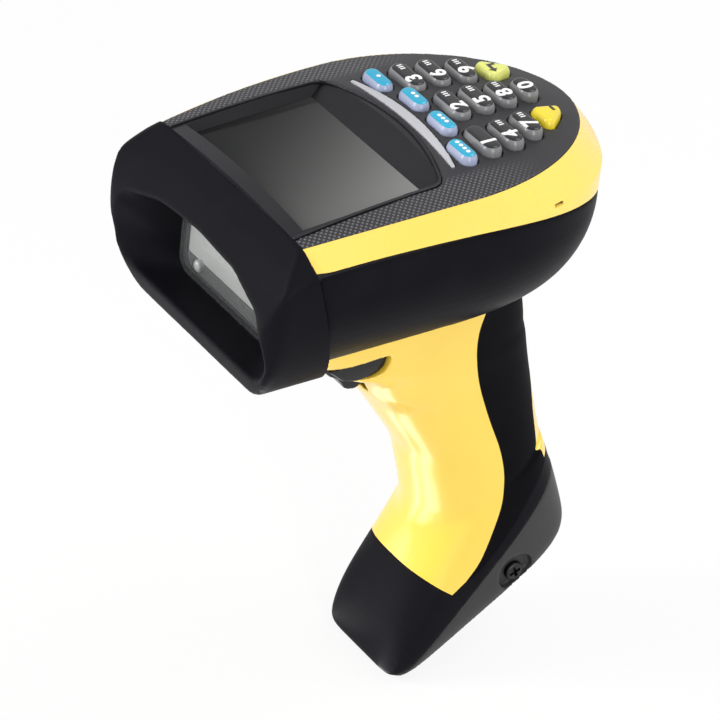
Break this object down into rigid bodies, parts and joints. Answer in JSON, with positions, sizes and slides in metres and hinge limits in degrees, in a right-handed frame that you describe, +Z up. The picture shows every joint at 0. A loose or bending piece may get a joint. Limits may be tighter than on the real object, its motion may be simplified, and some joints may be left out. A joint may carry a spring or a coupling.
{
  "type": "handheld barcode scanner",
  "caption": "Pistol-grip industrial barcode scanner: rubber-booted nose with a recessed scan window, a display and sprung keypad on top, a pivoting trigger and a screwed battery cover.",
  "frame": {"origin": "centre of the hand's grip on the handle, on the middle plane", "axes": "+Z up with the head level above the handle, -Y towards the nose and the code being read, +X to the side that carries the cover screw"},
  "size_m": [0.086, 0.1379, 0.1896],
  "materials": {
    "boot_rubber": "satin black rubber, fine moulded grain",
    "grip_rubber": "satin black soft-touch rubber",
    "seal_rubber": "plain dark rubber",
    "body_black": "satin black moulded plastic",
    "bezel_black": "black moulded plastic with a fine dotted texture on its margins",
    "surround_black": "smooth satin black plastic",
    "yellow_shell": "warm yellow moulded plastic with a soft gloss",
    "window_glass": "clear scan window with a grey tint",
    "display_glass": "smoked clear lens",
    "display_unit": "dark display panel in a thin frame",
    "light_bar": "milky white light guide",
    "key_dark": "dark grey moulded key with a pale printed digit",
    "key_blue": "bright blue moulded key",
    "key_lime": "pale lime moulded key",
    "key_amber": "yellow moulded key",
    "trigger_black": "smooth black plastic",
    "cover_grey": "dark grey moulded plastic",
    "module_black": "black moulded housing",
    "circuit_board": "green coated circuit board",
    "sheet_metal": "bare sheet metal",
    "screw_steel": "zinc plated steel",
    "lamp_lens": "clear moulded lens",
    "battery_sleeve": "metal can in a thin blue sleeve",
    "contact_brass": "gold plated brass"
  },
  "bodies": {
    "scanner": {"nose_boot": "boot_rubber", "scan_window": "window_glass", "window_gasket": "seal_rubber", "lower_body": "body_black", "upper_shell": "yellow_shell", "top_bezel": "bezel_black", "display_surround": "surround_black", "display_lens": "display_glass", "display_gasket": "seal_rubber", "display_module": "display_unit", "display_bracket": "sheet_metal", "light_bar": "light_bar", "keypad_mat": "seal_rubber", "keypad_board": "circuit_board", "keypad_screws": "screw_steel", "body_seal": "seal_rubber", "head_screws": "screw_steel", "scan_engine": "module_black", "imager_lens": "window_glass", "engine_bracket": "sheet_metal", "lamp_board": "circuit_board", "aimer_lenses": "lamp_lens", "main_board": "circuit_board", "radio_module": "sheet_metal", "sounder": "module_black", "handle_shell": "yellow_shell", "grip_left": "grip_rubber", "grip_right": "grip_rubber", "handle_screws": "screw_steel", "trigger_housing": "body_black", "trigger_pin": "screw_steel", "trigger_spring": "screw_steel", "trigger_switch": "module_black", "battery_cell": "battery_sleeve", "battery_connector": "module_black", "base_boot": "boot_rubber", "battery_cover": "cover_grey", "cover_seal": "seal_rubber", "cover_screw": "screw_steel", "cover_nut": "screw_steel", "charge_contacts": "contact_brass"},
    "key_f1_body": {"key_f1": "key_blue"},
    "key_f2_body": {"key_f2": "key_blue"},
    "key_f3_body": {"key_f3": "key_blue"},
    "key_f4_body": {"key_f4": "key_blue"},
    "key_1_body": {"key_1": "key_dark"},
    "key_2_body": {"key_2": "key_dark"},
    "key_3_body": {"key_3": "key_dark"},
    "key_4_body": {"key_4": "key_dark"},
    "key_5_body": {"key_5": "key_dark"},
    "key_6_body": {"key_6": "key_dark"},
    "key_7_body": {"key_7": "key_dark"},
    "key_8_body": {"key_8": "key_dark"},
    "key_9_body": {"key_9": "key_dark"},
    "key_clear_body": {"key_clear": "key_amber"},
    "key_0_body": {"key_0": "key_dark"},
    "key_enter_body": {"key_enter": "key_lime"},
    "trigger_body": {"trigger": "trigger_black"}
  },
  "joints": [
    {"name": "trigger_pull", "type": "hinge", "parent": "scanner", "child": "trigger_body", "pos_m": [0, -0.046, 0.0574], "axis": [1, 0, 0], "range_deg": [0, 8], "stiffness_Nm_per_rad": 0.3, "springref_deg": -5.73},
    {"name": "key_f1_press", "type": "slide", "parent": "scanner", "child": "key_f1_body", "axis": [0, 0, -1], "range_m": [0, 0.0008], "stiffness_N_per_m": 1200, "springref_m": -0.0004},
    {"name": "key_f2_press", "type": "slide", "parent": "scanner", "child": "key_f2_body", "axis": [0, 0, -1], "range_m": [0, 0.0008], "stiffness_N_per_m": 1200, "springref_m": -0.0004},
    {"name": "key_f3_press", "type": "slide", "parent": "scanner", "child": "key_f3_body", "axis": [0, 0, -1], "range_m": [0, 0.0008], "stiffness_N_per_m": 1200, "springref_m": -0.0004},
    {"name": "key_f4_press", "type": "slide", "parent": "scanner", "child": "key_f4_body", "axis": [0, 0, -1], "range_m": [0, 0.0008], "stiffness_N_per_m": 1200, "springref_m": -0.0004},
    {"name": "key_1_press", "type": "slide", "parent": "scanner", "child": "key_1_body", "axis": [0, 0, -1], "range_m": [0, 0.0008], "stiffness_N_per_m": 1200, "springref_m": -0.0004},
    {"name": "key_2_press", "type": "slide", "parent": "scanner", "child": "key_2_body", "axis": [0, 0, -1], "range_m": [0, 0.0008], "stiffness_N_per_m": 1200, "springref_m": -0.0004},
    {"name": "key_3_press", "type": "slide", "parent": "scanner", "child": "key_3_body", "axis": [0, 0, -1], "range_m": [0, 0.0008], "stiffness_N_per_m": 1200, "springref_m": -0.0004},
    {"name": "key_4_press", "type": "slide", "parent": "scanner", "child": "key_4_body", "axis": [0, 0, -1], "range_m": [0, 0.0008], "stiffness_N_per_m": 1200, "springref_m": -0.0004},
    {"name": "key_5_press", "type": "slide", "parent": "scanner", "child": "key_5_body", "axis": [0, 0, -1], "range_m": [0, 0.0008], "stiffness_N_per_m": 1200, "springref_m": -0.0004},
    {"name": "key_6_press", "type": "slide", "parent": "scanner", "child": "key_6_body", "axis": [0, 0, -1], "range_m": [0, 0.0008], "stiffness_N_per_m": 1200, "springref_m": -0.0004},
    {"name": "key_7_press", "type": "slide", "parent": "scanner", "child": "key_7_body", "axis": [0, 0, -1], "range_m": [0, 0.0008], "stiffness_N_per_m": 1200, "springref_m": -0.0004},
    {"name": "key_8_press", "type": "slide", "parent": "scanner", "child": "key_8_body", "axis": [0, 0, -1], "range_m": [0, 0.0008], "stiffness_N_per_m": 1200, "springref_m": -0.0004},
    {"name": "key_9_press", "type": "slide", "parent": "scanner", "child": "key_9_body", "axis": [0, 0, -1], "range_m": [0, 0.0008], "stiffness_N_per_m": 1200, "springref_m": -0.0004},
    {"name": "key_clear_press", "type": "slide", "parent": "scanner", "child": "key_clear_body", "axis": [0, 0, -1], "range_m": [0, 0.0008], "stiffness_N_per_m": 1200, "springref_m": -0.0004},
    {"name": "key_0_press", "type": "slide", "parent": "scanner", "child": "key_0_body", "axis": [0, 0, -1], "range_m": [0, 0.0008], "stiffness_N_per_m": 1200, "springref_m": -0.0004},
    {"name": "key_enter_press", "type": "slide", "parent": "scanner", "child": "key_enter_body", "axis": [0, 0, -1], "range_m": [0, 0.0008], "stiffness_N_per_m": 1200, "springref_m": -0.0004}
  ]
}
